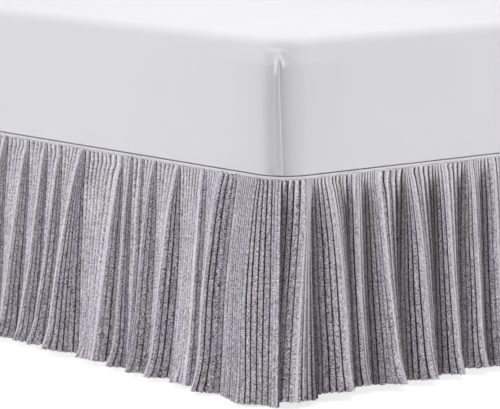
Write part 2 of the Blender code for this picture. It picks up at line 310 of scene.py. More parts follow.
# The studio's light: the side of the room behind the camera is the darker one
DARK_SIDE = (-0.60, -0.73, -0.32)
DARK_SIDE_SHARE = 0.15
DARK_SIDE_EDGES = (-0.1, 0.95)
ROOM_LIGHT = 0.57
FLOOR_GLOW = 0.72
FLOOR_COLOUR = (0.62, 0.62, 0.62)
FLOOR_ROUGHNESS = 0.9
FLOOR_SIZE = 30.0
FLOOR_DROP = 0.001

# Each softbox: where it stands, what it faces, its width and height, and its power in watts
SOFTBOXES = {
    "left_softbox": ((-3.4, 3.4, 2.0), (-0.5, -0.3, 0.3), (2.2, 1.8), 34.0),
    "right_softbox": ((3.6, -3.6, 2.0), (0.0, -0.95, 0.3), (2.2, 1.8), 32.0),
    "top_softbox": ((-0.4, -0.7, 3.4), (-0.3, -0.4, 0.6), (2.6, 2.6), 70.0),
}

# The woven cloths: their two tones, roughness, fineness, relief and sheen, and what the weave follows
WOVEN_COLUMNS = ("light", "dark", "roughness", "threads", "relief", "sheen", "follows")
WOVEN_CLOTHS = {
    "white_sheet": ((0.748, 0.738, 0.775), (0.730, 0.721, 0.757), 0.85, 1100.0, 0.00004, 0.1, "cloth"),
    "pale_strip": ((0.93, 0.91, 0.95), (0.88, 0.86, 0.91), 0.8, 700.0, 0.0002, 0.1, "cloth"),
    "deck_cloth": ((0.76, 0.76, 0.78), (0.72, 0.72, 0.74), 0.9, 500.0, 0.0001, 0.0, "object"),
    "base_ticking": ((0.60, 0.59, 0.58), (0.55, 0.54, 0.53), 0.9, 400.0, 0.0002, 0.0, "object"),
}
# Painted shade in a woven cloth's creases, as a share of its dark tone, and the painted highlight on its
# ridges
WOVEN_CREASE_SHADE_SHARE = 0.72
WOVEN_RIDGE_HIGHLIGHT = (0.96, 0.96, 0.97)

# The glitter cloth. Each range is the lowest and highest value that goes in, and what they become
GLITTER_PLAIN = (0.46, 0.44, 0.49)
GLITTER_GROUND = ((0.71, 0.64, 0.72), (0.65, 0.61, 0.65))
GLITTER_PATCH = (0.60, 0.57, 0.72)
# The bright flecks: the silver threads' own light colour, partly painted glints
GLITTER_FLECK_THREAD_AND_GLINT = (0.97, 0.96, 1.0)
# The folds' painted shade, the painted shade in the pleats' creases and the painted highlight on their ridges
GLITTER_SHADE = (0.050, 0.043, 0.048)
GLITTER_CREASE_PAINTED_SHADE = (0.016, 0.014, 0.018)
GLITTER_RIDGE_PAINTED_HIGHLIGHT = (0.94, 0.92, 0.97)
FINE_FLECKS = 700.0
COARSE_FLECKS = 360.0
COARSE_SHARE = 0.10
PATCH_SCALE = (14.0, 9.0, 1.0)
PATCH_RANGE = (0.4, 0.7, 0.0, 0.7)
STREAK_SCALE = (420.0, 16.0, 1.0)
STREAK_RANGE = (0.35, 0.65, 0.72, 1.22)
GRAIN_RANGE = (0.15, 0.85, -1.0, 1.0)
GRAIN_DEPTH_RANGE = (0.0, 0.5, 0.40, 0.90)
# Where the bright flecks, partly painted glints, come in
BRIGHT_FLECK_AND_GLINT_RANGE = (0.80, 0.90, 0.0, 0.85)
METAL_FLECK_RANGE = (0.86, 0.92, 0.0, 0.7)
FLECK_ROUGHNESS_RANGE = (0.0, 1.0, 0.62, 0.34)
# Ranges for the painted shade of folds and creases, the painted ridge highlights, and where flecks break them
SHADE_RANGE = (0.0, 1.0, 0.0, 0.92)
CREASE_SHADE_RANGE = (0.10, 0.65, 0.0, 1.0)
CREASE_SHADE_BREAK_RANGE = (0.1, 0.6, 0.78, 1.0)
RIDGE_HIGHLIGHT_RANGE = (0.15, 0.75, 0.0, 0.92)
RIDGE_HIGHLIGHT_BREAK_RANGE = (0.1, 0.9, 0.75, 1.0)
GLITTER_SPECULAR = 0.12
GLITTER_RELIEF = 0.0004
GLITTER_BUMP = 0.8

# The legs' wood
WOOD_PLAIN = (0.10, 0.07, 0.05)
WOOD_COLOURS = ((0.13, 0.09, 0.06), (0.06, 0.04, 0.03))
WOOD_GRAIN_SCALE = (1.0, 1.0, 0.06)
WOOD_STREAK_RANGE = (0.35, 0.65, 0.0, 1.0)
WOOD_ROUGHNESS_RANGE = (0.3, 0.7, 0.36, 0.52)
WOOD_RELIEF = 0.0003
WOOD_BUMP = 0.5


def add_camera():
    data = bpy.data.cameras.new("photo_camera")
    camera = bpy.data.objects.new("photo_camera", data)
    bpy.context.scene.collection.objects.link(camera)
    data.sensor_width = SENSOR_WIDTH
    data.lens = CAMERA_LENS
    data.clip_end = CAMERA_REACH
    camera.location = CAMERA_PLACE
    camera.rotation_euler = (math.pi / 2 - math.radians(CAMERA_DIP), 0.0, -math.radians(CAMERA_TURN))
    bpy.context.scene.camera = camera


def add_softbox(name, place, aim, size, power):
    data = bpy.data.lights.new(name, "AREA")
    data.shape = "RECTANGLE"
    data.size = size[0]
    data.size_y = size[1]
    data.energy = power
    light = bpy.data.objects.new(name, data)
    bpy.context.scene.collection.objects.link(light)
    light.location = place
    light.rotation_euler = (Vector(place) - Vector(aim)).to_track_quat("Z", "Y").to_euler()


def add_studio():
    """A white room, darker behind the camera, with large softboxes on the left, on the right and overhead."""
    world = bpy.data.worlds.new("white_room")
    bpy.context.scene.world = world
    world.use_nodes = True
    tree = world.node_tree
    background = tree.nodes["Background"]
    direction = add_node(tree, "ShaderNodeTexCoord").outputs["Generated"]
    facing = add_node(tree, "ShaderNodeVectorMath", operation="DOT_PRODUCT")
    tree.links.new(direction, facing.inputs[0])
    facing.inputs[1].default_value = DARK_SIDE
    dark_light = ROOM_LIGHT * DARK_SIDE_SHARE
    strength = between(tree, facing.outputs["Value"], *DARK_SIDE_EDGES, ROOM_LIGHT, dark_light)
    background.inputs["Color"].default_value = (1.0, 1.0, 1.0, 1.0)
    tree.links.new(strength, background.inputs["Strength"])
    for name, (place, aim, size, power) in SOFTBOXES.items():
        add_softbox(name, place, aim, size, power)
    bpy.context.scene.view_settings.view_transform = "Standard"


def add_floor():
    bpy.ops.mesh.primitive_plane_add(size=FLOOR_SIZE, location=(0.0, 0.0, -FLOOR_DROP))
    floor = bpy.context.object
    floor.name = "studio_floor"
    bpy.ops.object.transform_apply(location=True)
    material, shader = new_material("studio_floor", FLOOR_COLOUR, FLOOR_ROUGHNESS)
    shader.inputs["Emission Color"].default_value = (1.0, 1.0, 1.0, 1.0)
    shader.inputs["Emission Strength"].default_value = FLOOR_GLOW
    floor.data.materials.append(material)


def new_material(name, colour, roughness):
    material = bpy.data.materials.new(name)
    material.use_nodes = True
    shader = material.node_tree.nodes["Principled BSDF"]
    shader.inputs["Base Color"].default_value = (*colour, 1.0)
    shader.inputs["Roughness"].default_value = roughness
    return material, shader


def add_node(tree, kind, **settings):
    node = tree.nodes.new(kind)
    for name, value in settings.items():
        setattr(node, name, value)
    return node


def scaled(tree, source, scale):
    """A vector socket stretched by a scale on each axis."""
    mapping = add_node(tree, "ShaderNodeMapping")
    mapping.inputs["Scale"].default_value = scale
    tree.links.new(source, mapping.inputs["Vector"])
    return mapping.outputs["Vector"]


def between(tree, value, low, high, to_low, to_high):
    """A value brought from one range into another, and kept inside it."""
    node = add_node(tree, "ShaderNodeMapRange")
    tree.links.new(value, node.inputs["Value"])
    for name, number in (("From Min", low), ("From Max", high), ("To Min", to_low), ("To Max", to_high)):
        node.inputs[name].default_value = number
    return node.outputs["Result"]


def calculate(tree, operation, first, second):
    node = add_node(tree, "ShaderNodeMath", operation=operation)
    for socket, value in zip(node.inputs, (first, second)):
        if isinstance(value, (int, float)):
            socket.default_value = value
        else:
            tree.links.new(value, socket)
    return node.outputs["Value"]


def blend_colours(tree, share, first, second, kind="MIX"):
    """Two colours mixed by a share. Each is a socket or a colour."""
    node = add_node(tree, "ShaderNodeMix", data_type="RGBA", blend_type=kind)
    inputs = [socket for socket in node.inputs if socket.type == "RGBA"]
    for socket, value in zip(inputs, (first, second)):
        if isinstance(value, tuple):
            socket.default_value = (*value, 1.0)
        else:
            tree.links.new(value, socket)
    if isinstance(share, (int, float)):
        node.inputs["Factor"].default_value = share
    else:
        tree.links.new(share, node.inputs["Factor"])
    return next(socket for socket in node.outputs if socket.type == "RGBA")


def bump_from(tree, shader, height, distance, strength=1.0):
    bump = add_node(tree, "ShaderNodeBump")
    bump.inputs["Strength"].default_value = strength
    bump.inputs["Distance"].default_value = distance
    tree.links.new(height, bump.inputs["Height"])
    tree.links.new(bump.outputs["Normal"], shader.inputs["Normal"])


def weave_group():
    """Plain weave: threads over and under, with a slow drift of tone. Thread is the width of one thread."""
    tree = bpy.data.node_groups.new("plain_weave", "ShaderNodeTree")
    tree.interface.new_socket("Vector", in_out="INPUT", socket_type="NodeSocketVector")
    threads = tree.interface.new_socket("Threads", in_out="INPUT", socket_type="NodeSocketFloat")
    threads.default_value = 900.0
    tree.interface.new_socket("Height", in_out="OUTPUT", socket_type="NodeSocketFloat")
    tree.interface.new_socket("Tone", in_out="OUTPUT", socket_type="NodeSocketFloat")
    inputs = add_node(tree, "NodeGroupInput")
    outputs = add_node(tree, "NodeGroupOutput")
    bands = []
    for direction in ("X", "Y"):
        wave = add_node(tree, "ShaderNodeTexWave", bands_direction=direction)
        wave.inputs["Distortion"].default_value = 0.6
        wave.inputs["Detail"].default_value = 1.0
        tree.links.new(inputs.outputs["Vector"], wave.inputs["Vector"])
        tree.links.new(inputs.outputs["Threads"], wave.inputs["Scale"])
        bands.append(wave.outputs["Factor"] if "Factor" in wave.outputs else wave.outputs["Fac"])
    height = calculate(tree, "MULTIPLY", bands[0], bands[1])
    tree.links.new(height, outputs.inputs["Height"])
    drift = add_node(tree, "ShaderNodeTexNoise")
    drift.inputs["Scale"].default_value = 5.0
    drift.inputs["Detail"].default_value = 3.0
    tree.links.new(inputs.outputs["Vector"], drift.inputs["Vector"])
    tree.links.new(between(tree, drift.outputs["Fac"], 0.3, 0.7, 0.0, 1.0), outputs.inputs["Tone"])
    return tree


def object_coordinates(tree):
    return add_node(tree, "ShaderNodeTexCoord").outputs["Object"]


def cloth_coordinates(tree):
    return add_node(tree, "ShaderNodeUVMap", uv_map="cloth").outputs["UV"]


def shaded_edges(tree, colour, dark, light):
    """A colour given painted shade in a cloth's creases and painted highlights on its ridges, by its
    attributes.
    """
    colour = blend_colours(tree, attribute(tree, "crease"), colour, dark)
    return blend_colours(tree, attribute(tree, "ridge"), colour, light)


def woven_material(name, weave):
    """Plain woven cloth whose tone drifts between two colours."""
    finish = dict(zip(WOVEN_COLUMNS, WOVEN_CLOTHS[name]))
    material, shader = new_material(name, finish["light"], finish["roughness"])
    tree = material.node_tree
    cloth = add_node(tree, "ShaderNodeGroup", node_tree=weave)
    cloth.inputs["Threads"].default_value = finish["threads"]
    places = object_coordinates if finish["follows"] == "object" else cloth_coordinates
    tree.links.new(places(tree), cloth.inputs["Vector"])
    colour = blend_colours(tree, cloth.outputs["Tone"], finish["light"], finish["dark"])
    # The painted shade in the creases: a darker share of the cloth's dark tone
    crease = tuple(WOVEN_CREASE_SHADE_SHARE * value for value in finish["dark"])
    tree.links.new(shaded_edges(tree, colour, crease, WOVEN_RIDGE_HIGHLIGHT), shader.inputs["Base Color"])
    bump_from(tree, shader, cloth.outputs["Height"], finish["relief"])
    shader.inputs["Sheen Weight"].default_value = finish["sheen"]
    return material


def attribute(tree, name):
    return add_node(tree, "ShaderNodeAttribute", attribute_name=name).outputs["Fac"]


def fleck_colours(tree, cloth, scale):
    """Three random values for each fleck of glitter."""
    flecks = add_node(tree, "ShaderNodeTexVoronoi")
    flecks.inputs["Scale"].default_value = 1.0
    tree.links.new(scaled(tree, cloth, (scale, scale, 1.0)), flecks.inputs["Vector"])
    parted = add_node(tree, "ShaderNodeSeparateColor")
    tree.links.new(flecks.outputs["Color"], parted.inputs["Color"])
    return parted.outputs


def cloth_noise(tree, cloth, scale):
    """Soft noise, stretched over the cloth."""
    clouds = add_node(tree, "ShaderNodeTexNoise")
    clouds.inputs["Scale"].default_value = 1.0
    tree.links.new(scaled(tree, cloth, scale), clouds.inputs["Vector"])
    return clouds.outputs["Fac"]


def glitter_ground(tree, cloth, tint):
    """The colour under the glitter, with bluer patches."""
    ground = blend_colours(tree, tint, *GLITTER_GROUND)
    patches = between(tree, cloth_noise(tree, cloth, PATCH_SCALE), *PATCH_RANGE)
    return blend_colours(tree, patches, ground, GLITTER_PATCH)


def glitter_grain(tree, cloth, shine, coarse):
    """A grey that speckles the cloth, more where it is shaded, and streaks it along the pleats."""
    streaks = between(tree, cloth_noise(tree, cloth, STREAK_SCALE), *STREAK_RANGE)
    few = calculate(tree, "MULTIPLY", coarse, COARSE_SHARE)
    many = calculate(tree, "MULTIPLY", shine, 1 - COARSE_SHARE)
    mixed = between(tree, calculate(tree, "ADD", few, many), *GRAIN_RANGE)
    depth = between(tree, attribute(tree, "shade"), *GRAIN_DEPTH_RANGE)
    grain = calculate(tree, "ADD", calculate(tree, "MULTIPLY", mixed, depth), 1.0)
    grain = calculate(tree, "MULTIPLY", grain, streaks)
    grey = add_node(tree, "ShaderNodeCombineColor")
    for socket in grey.inputs:
        tree.links.new(grain, socket)
    return grey.outputs["Color"]


def glitter_painted_shade_and_highlights(tree, colour, coarse):
    """A colour with painted shade in the folds and the pleats' creases, and painted highlights on their
    ridges.
    """
    shade = between(tree, attribute(tree, "shade"), *SHADE_RANGE)
    colour = blend_colours(tree, shade, colour, GLITTER_SHADE)
    crease = between(tree, attribute(tree, "crease"), *CREASE_SHADE_RANGE)
    crease = calculate(tree, "MULTIPLY", crease, between(tree, coarse[1], *CREASE_SHADE_BREAK_RANGE))
    colour = blend_colours(tree, crease, colour, GLITTER_CREASE_PAINTED_SHADE)
    ridge = between(tree, attribute(tree, "ridge"), *RIDGE_HIGHLIGHT_RANGE)
    ridge = calculate(tree, "MULTIPLY", ridge, between(tree, coarse[0], *RIDGE_HIGHLIGHT_BREAK_RANGE))
    return blend_colours(tree, ridge, colour, GLITTER_RIDGE_PAINTED_HIGHLIGHT)


def glitter_material():
    """Lilac-grey glitter cloth, with painted shade in the pleats' creases and painted highlights on their
    ridges.
    """
    material, shader = new_material("glitter_cloth", GLITTER_PLAIN, 0.5)
    tree = material.node_tree
    cloth = cloth_coordinates(tree)
    shine, tint, rare = fleck_colours(tree, cloth, FINE_FLECKS)
    coarse = fleck_colours(tree, cloth, COARSE_FLECKS)
    ground = glitter_ground(tree, cloth, tint)
    grain = glitter_grain(tree, cloth, shine, coarse[0])
    speckled = blend_colours(tree, 1.0, ground, grain, "MULTIPLY")
    # Bright flecks: the silver threads' own light colour, and partly painted glints
    bright_fleck_and_glint = between(tree, rare, *BRIGHT_FLECK_AND_GLINT_RANGE)
    speckled = blend_colours(tree, bright_fleck_and_glint, speckled, GLITTER_FLECK_THREAD_AND_GLINT)
    tree.links.new(glitter_painted_shade_and_highlights(tree, speckled, coarse), shader.inputs["Base Color"])
    tree.links.new(between(tree, shine, *FLECK_ROUGHNESS_RANGE), shader.inputs["Roughness"])
    tree.links.new(between(tree, rare, *METAL_FLECK_RANGE), shader.inputs["Metallic"])
    shader.inputs["Specular IOR Level"].default_value = GLITTER_SPECULAR
    bump_from(tree, shader, shine, GLITTER_RELIEF, GLITTER_BUMP)
    return material


def wood_material():
    """Dark wood with its grain running down the legs."""
    material, shader = new_material("dark_wood", WOOD_PLAIN, 0.42)
    tree = material.node_tree
    grain = add_node(tree, "ShaderNodeTexNoise")
    grain.inputs["Scale"].default_value = 60.0
    grain.inputs["Detail"].default_value = 6.0
    tree.links.new(scaled(tree, object_coordinates(tree), WOOD_GRAIN_SCALE), grain.inputs["Vector"])
    streaks = between(tree, grain.outputs["Fac"], *WOOD_STREAK_RANGE)
    tree.links.new(blend_colours(tree, streaks, *WOOD_COLOURS), shader.inputs["Base Color"])
    tree.links.new(between(tree, grain.outputs["Fac"], *WOOD_ROUGHNESS_RANGE), shader.inputs["Roughness"])
    bump_from(tree, shader, grain.outputs["Fac"], WOOD_RELIEF, WOOD_BUMP)
    return material


def edge_point(distance, out):
    """A place in plan along the sewn edge, moved outwards from it."""
    if distance > EDGE_LENGTH / 2:
        mirrored = edge_point(EDGE_LENGTH - distance, out)
        return Vector((-mirrored.x, mirrored.y))
    if distance <= SIDE_RUN:
        return Vector((-HALF_WIDTH - out, HEAD_Y - HEAD_SETBACK - distance))
    past_side = distance - SIDE_RUN
    if past_side >= CORNER_RUN:
        return Vector((BED_CORNER - HALF_WIDTH + past_side - CORNER_RUN, FOOT_Y - out))
    turn = past_side / BED_CORNER
    centre = Vector((BED_CORNER - HALF_WIDTH, FOOT_Y + BED_CORNER))
    return centre + (BED_CORNER + out) * Vector((-math.cos(turn), -math.sin(turn)))


def table_rows(columns, table):
    """The rows of a table by column name, in metres."""
    return [{name: value / 1000 for name, value in zip(columns, row)} for row in table]


def unseen_fold(place, runs, draw):
    """A fold like those of the tables, whose valley starts at a place along the seam."""
    fold = {
        "reach": draw.uniform(*UNSEEN_REACH),
        "opens": draw.uniform(*UNSEEN_OPENS),
        "hang": draw.uniform(*UNSEEN_HANG),
    }
    drift = draw.uniform(-UNSEEN_DRIFT, UNSEEN_DRIFT)
    for level, share in (("seam", 0.0), ("middle", 0.5), ("hem", 1.0)):
        fold[f"valley_{level}"] = place + drift * share
        fold[f"crest_{level}"] = fold[f"valley_{level}"] + draw.uniform(*runs[level])
    return fold


def carry_on(folds, end, pitch, runs, seed):
    """More folds of the same kind, unevenly spaced, from the last one given to the panel's end."""
    draw = random.Random(seed)
    folds = list(folds)
    place = folds[-1]["valley_seam"] + draw.uniform(*pitch)
    while end - place > pitch[0]:
        folds.append(unseen_fold(place, runs, draw))
        place += draw.uniform(*pitch)
    return folds


def side_folds(number):
    """The first side's folds show. The second side has only its corner in common with it."""
    table = SIDE_FOLDS if number == 0 else SIDE_FOLDS[:CORNER_ROWS]
    rows = table_rows(FOLD_COLUMNS, table)
    return carry_on(rows, SIDE_PANEL_LENGTH, SIDE_PITCH, SIDE_RUNS, SIDE_SEEDS[number])


def foot_folds():
    rows = table_rows(FOLD_COLUMNS, FOOT_FOLDS)
    return carry_on(rows, FOOT_PANEL_LENGTH, FOOT_PITCH, FOOT_RUNS, FOOT_SEED)


def line_place(fold, line, drop):
    """How far along the panel a fold's valley or crest lies, on a curve through its three places."""
    seam, middle, hem = (fold[f"{line}_{level}"] for level in ("seam", "middle", "hem"))
    at_seam = (drop - MIDDLE_DROP) * (drop - 1) / MIDDLE_DROP
    at_middle = drop * (drop - 1) / (MIDDLE_DROP * (MIDDLE_DROP - 1))
    at_hem = drop * (drop - MIDDLE_DROP) / (1 - MIDDLE_DROP)
    return seam * at_seam + middle * at_middle + hem * at_hem


def opening_share(fold, drop):
    """How much of its reach a fold has at a share of the drop."""
    start = fold["opens"] / DROP
    return max(0.0, (drop - start) / (1 - start)) ** FOLD_POWER


def eased(share):
    """A share from 0 to 1 that starts and ends gently."""
    share = min(1.0, max(0.0, share))
    return share * share * (3 - 2 * share)


def hem_flare(along, corners, flare):
    """How far out the valleys stand at the hem: more towards a split corner."""
    nearest = min(abs(along - corner) for corner in corners)
    return flare + (CORNER_FLARE - flare) * eased(1 - nearest / CORNER_REACH)


def flank_rise(side, share):
    """How high a flank of a fold stands at a share of its way: the steep one rises, the gentle one falls."""
    if side == "steep":
        return (1 - STEEP_EASE) * share + STEEP_EASE * eased(share)
    return 1 - share**GENTLE_POWER


def hem_place(panel, along, reach):
    """A place in plan on the hem, at a distance along the panel and a fold's reach out of it."""
    out = hem_flare(along, panel["corners"], panel["flare"]) + reach
    return edge_point(panel["to_edge"](along), out)


def pleat_columns(folds, panel, draw):
    """The panel's columns of cloth. Each flank of each fold has a whole number of uneven pleats."""
    columns = []
    pleats = 0
    for index, fold in enumerate(folds):
        next_valley = folds[index + 1]["valley_hem"] if index + 1 < len(folds) else panel["end"]
        crest = fold["crest_hem"]
        for side, valley in (("steep", fold["valley_hem"]), ("gentle", next_valley)):
            if valley == crest:
                continue
            width = (hem_place(panel, crest, fold["reach"]) - hem_place(panel, valley, 0.0)).length
            count = max(1, round(width / PLEAT_PITCH))
            weights = [draw.uniform(1 - PLEAT_UNEVEN, 1 + PLEAT_UNEVEN) for _ in range(count)]
            start = 0.0
            for weight in weights:
                pleat = one_pleat(index, side, draw)
                for step, rise, gathered, light, gathered_highlight in PLEAT_COLUMNS:
                    share = (start + weight * step) / sum(weights)
                    place = {"share": share, "rise": rise, "gathered": gathered, "cloth": pleats + step}
                    columns.append({**pleat, **place, "light": light, "gathered_highlight": gathered_highlight})
                start += weight
                pleats += 1
    last = {**columns[-1], "share": 1.0, "rise": 0.0, "gathered": 0.0, "cloth": pleats}
    return columns + [last]


def one_pleat(fold, side, draw):
    """What all of a pleat's columns have in common."""
    return {
        "fold": fold,
        "side": side,
        "depth": draw.uniform(*PLEAT_DEPTHS),
        "longer": draw.uniform(-HEM_UNEVEN, HEM_UNEVEN),
        "lap": draw.uniform(*TOP_LAP),
    }


def cloth_line(folds, columns, drop, panel):
    """Each column's distance along the panel, its distance out and its rise, before the pleats' relief."""
    line = []
    for column in columns:
        index = column["fold"]
        fold = folds[index]
        crest = line_place(fold, "crest", drop)
        if column["side"] == "steep":
            valley = line_place(fold, "valley", drop)
            along = valley + (crest - valley) * column["share"]
        else:
            last = index + 1 == len(folds)
            next_valley = panel["end"] if last else line_place(folds[index + 1], "valley", drop)
            along = crest + (next_valley - crest) * column["share"]
        along -= panel["tuck"] * drop * eased(1 - along / CORNER_REACH)
        along += panel["tuck"] * drop * eased(1 - (panel["end"] - along) / CORNER_REACH)
        rise = flank_rise(column["side"], column["share"])
        out = hem_flare(along, panel["corners"], panel["flare"]) * drop**FLARE_POWER
        out += fold["reach"] * opening_share(fold, drop) * rise
        for kick in panel["kicks"]:
            started = max(0.0, (drop - 1) * DROP / kick["rise"] + 1) ** 2
            if started > 0.0:
                near = eased(1 - abs(along - kick["place"]) / (2 * kick["wide"]))
                out += kick["out"] * started * near
        softness = noise.noise(Vector((along * DRAPE_WAVES_ALONG, drop * DRAPE_WAVES_DOWN, panel["seed"])))
        out += DRAPE_SOFTNESS * softness * min(1.0, drop * DRAPE_START)
        line.append((along, out, rise))
    return line


def pleated(line, columns, drop):
    """The line with each column moved across the cloth by the pleats' relief."""
    gather = math.exp(-drop / GATHER_REACH)
    depth = PLEAT_DEPTH + GATHER_DEPTH * gather
    places = []
    for number, (along, out, _) in enumerate(line):
        before = line[max(0, number - len(PLEAT_COLUMNS))]
        after = line[min(len(line) - 1, number + len(PLEAT_COLUMNS))]
        run = Vector((after[0] - before[0], after[1] - before[1]))
        if run.length == 0.0:
            run = Vector((1.0, 0.0))
        normal = Vector((-run.y, run.x)).normalized()
        column = columns[number]
        rise = column["rise"] + (column["gathered"] - column["rise"]) * gather
        relief = min(depth, PLEAT_STEEPEST * run.length) * column["depth"] * rise
        places.append((along + normal.x * relief, out + normal.y * relief))
    return places


def shade_at(column, drop, rise, along, panel):
    """How much light a place loses, facing the dark side of the room or deep in a valley, as painted shade.
    """
    crest_loss, valley_loss = panel["losses"][column["side"]]
    loss = crest_loss + (valley_loss - crest_loss) * (1 - rise)
    loss += (CORNER_LOSS - loss) * corner_evenness(along, panel)
    return loss * (SEAM_LOSS_SHARE + (1 - SEAM_LOSS_SHARE) * eased(drop / LOSS_REACH))


def corner_evenness(along, panel):
    """How far the folds' painted shade gives way to an even one near the foot corner."""
    near, far = CORNER_LOSS_REACH
    return panel["evened"] * eased((far - along) / (far - near))


def painted_mark_strength(marks, column, along, drop):
    """How strongly a column's painted crease shade or ridge highlight shows: more near the seam and the foot
    corner.
    """
    at_seam, at_hem = marks["flanks"][column["side"]]
    strength = at_seam + (at_hem - at_seam) * math.sqrt(drop)
    near, far = CORNER_MARKS_REACH
    strength = max(strength, marks["corner"] * eased((far - along) / (far - near)))
    return column["depth"] * strength


def pleat_painted_shade_and_highlight(column, drop, rise, along, panel):
    """How dark a place's painted crease shade is and how light its painted ridge highlight."""
    gather = math.exp(-drop / GATHER_REACH)
    dark, light = (painted_mark_strength(panel[marks], column, along, drop) for marks in ("creases", "ridges"))
    dark *= max(-column["rise"], -column["gathered"] * gather, 0.0)
    light *= column["light"] + (column["gathered_highlight"] - column["light"]) * gather
    light *= max(0.0, 1 - VALLEY_HIGHLIGHT_DULLING * (1 - rise) * (1 - gather))
    # The painted highlight line along each crest
    crest = CREST_LINE_HIGHLIGHT * eased((rise - CREST_LINE_START) / CREST_LINE_WIDE)
    return dark, max(light, crest * (1 - corner_evenness(along, panel)))


def cloth_rows():
    """Shares of the drop from the seam to the hem, closer together at both."""
    shares = []
    for row in range(CLOTH_ROWS + 1):
        share = row / CLOTH_ROWS
        shares.append(share - ROW_CROWDING * math.sin(2 * math.pi * share) / (2 * math.pi))
    return shares


def new_object(name, shape, material):
    mesh = bpy.data.meshes.new(name)
    shape.to_mesh(mesh)
    shape.free()
    mesh.materials.append(material)
    mesh.shade_smooth()
    piece = bpy.data.objects.new(name, mesh)
    bpy.context.scene.collection.objects.link(piece)
    return piece


def select_only(piece):
    bpy.ops.object.select_all(action="DESELECT")
    piece.select_set(True)
    bpy.context.view_layer.objects.active = piece


def give_thickness(piece, thickness, offset):
    solidify = piece.modifiers.new("thickness", "SOLIDIFY")
    solidify.thickness = thickness
    solidify.offset = offset
    select_only(piece)
    bpy.ops.object.modifier_apply(modifier=solidify.name)


def hanging_place(column, fold, drop, along, out, panel):
    """Where a place on the cloth hangs. What stands out from the seam ends a little higher."""
    near_top = math.exp(-drop / TOP_STANDOFF_REACH)
    out += TOP_STANDOFF * near_top
    lap = column["lap"] * (1 + GATHERED_LAP * column["gathered"]) * near_top
    length = SEAM_HEIGHT - HEM_LIFT + fold["hang"] + column["longer"] + HEM_RAGGED * column["rise"]
    plan = edge_point(panel["to_edge"](along), SEAM_DEPTH + out)
    return Vector((plan.x, plan.y, SEAM_HEIGHT + lap - length * drop + out * out / (2 * DROP)))


def make_ruffle(name, folds, panel, material):
    """One hanging panel of pleated cloth, laid on its folds."""
    draw = random.Random(PLEAT_SEEDS[name])
    columns = pleat_columns(folds, panel, draw)
    drops = cloth_rows()
    lines = [cloth_line(folds, columns, drop, panel) for drop in drops]
    places = [pleated(line, columns, drop) for line, drop in zip(lines, drops)]
    across = len(columns) - 1
    down = len(drops) - 1
    shape = bmesh.new()
    bmesh.ops.create_grid(shape, x_segments=across, y_segments=down, size=1.0)
    # Painted shade in the creases, painted highlight on the ridges and the folds' painted shade
    layers = [shape.verts.layers.float.new(layer) for layer in ("crease", "ridge", "shade")]
    spots = {}
    for vertex in shape.verts:
        number = round((vertex.co.x + 1) / 2 * across)
        row = round((1 - vertex.co.y) / 2 * down)
        spots[vertex.index] = (number, row)
        column, drop = columns[number], drops[row]
        along, out = places[row][number]
        rise = lines[row][number][2]
        vertex.co = hanging_place(column, folds[column["fold"]], drop, along, out, panel)
        # The painted crease shade and ridge highlight, then the folds' painted shade
        dark, light = pleat_painted_shade_and_highlight(column, drop, rise, along, panel)
        for layer, value in zip(layers, (dark, light, shade_at(column, drop, rise, along, panel))):
            vertex[layer] = value
    cloth = shape.loops.layers.uv.new("cloth")
    for face in shape.faces:
        for loop in face.loops:
            number, row = spots[loop.vert.index]
            loop[cloth].uv = (columns[number]["cloth"] * PLEAT_PITCH, -drops[row] * DROP)
    if panel["to_edge"](1.0) < panel["to_edge"](0.0):
        bmesh.ops.reverse_faces(shape, faces=shape.faces)
    piece = new_object(f"pleated_{name}", shape, material)
    give_thickness(piece, CLOTH_THICK, 0.0)
    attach(piece, "root")
    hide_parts(name)


def painted_marks_for(creases, ridges):
    """How strongly a panel's painted crease shade and ridge highlights show, on its flanks and at the foot
    corner.
    """
    return {
        "creases": {"flanks": creases, "corner": CORNER_CREASE_SHADE},
        "ridges": {"flanks": ridges, "corner": CORNER_RIDGE_HIGHLIGHTS},
    }


def make_ruffles(material):
    half_gap = CORNER_GAP / 2
    side = {
        **painted_marks_for(SIDE_CREASE_SHADE, SIDE_RIDGE_HIGHLIGHTS),
        "end": SIDE_PANEL_LENGTH,
        "corners": (0.0,),
        "flare": SIDE_FLARE,
        "tuck": 0.0,
        "losses": SIDE_LOSSES,
        "evened": SIDE_EVENED,
    }
    first = {
        **side,
        "kicks": table_rows(KICK_COLUMNS, SIDE_KICKS),
        "seed": 1.0,
        "to_edge": lambda along: FIRST_SPLIT - half_gap - along,
    }
    second = {**side, "kicks": (), "seed": 2.0, "to_edge": lambda along: SECOND_SPLIT + half_gap + along}
    foot = {
        **painted_marks_for(FOOT_CREASE_SHADE, FOOT_RIDGE_HIGHLIGHTS),
        "end": FOOT_PANEL_LENGTH,
        "corners": (0.0, FOOT_PANEL_LENGTH),
        "flare": FOOT_FLARE,
        "tuck": CORNER_TUCK,
        "losses": FOOT_LOSSES,
        "evened": 0.0,
        "kicks": table_rows(KICK_COLUMNS, FOOT_KICKS),
        "seed": 3.0,
        "to_edge": lambda along: FIRST_SPLIT + half_gap + along,
    }
    make_ruffle("ruffle_side_1", side_folds(0), first, material)
    make_ruffle("ruffle_side_2", side_folds(1), second, material)
    make_ruffle("ruffle_foot", foot_folds(), foot, material)


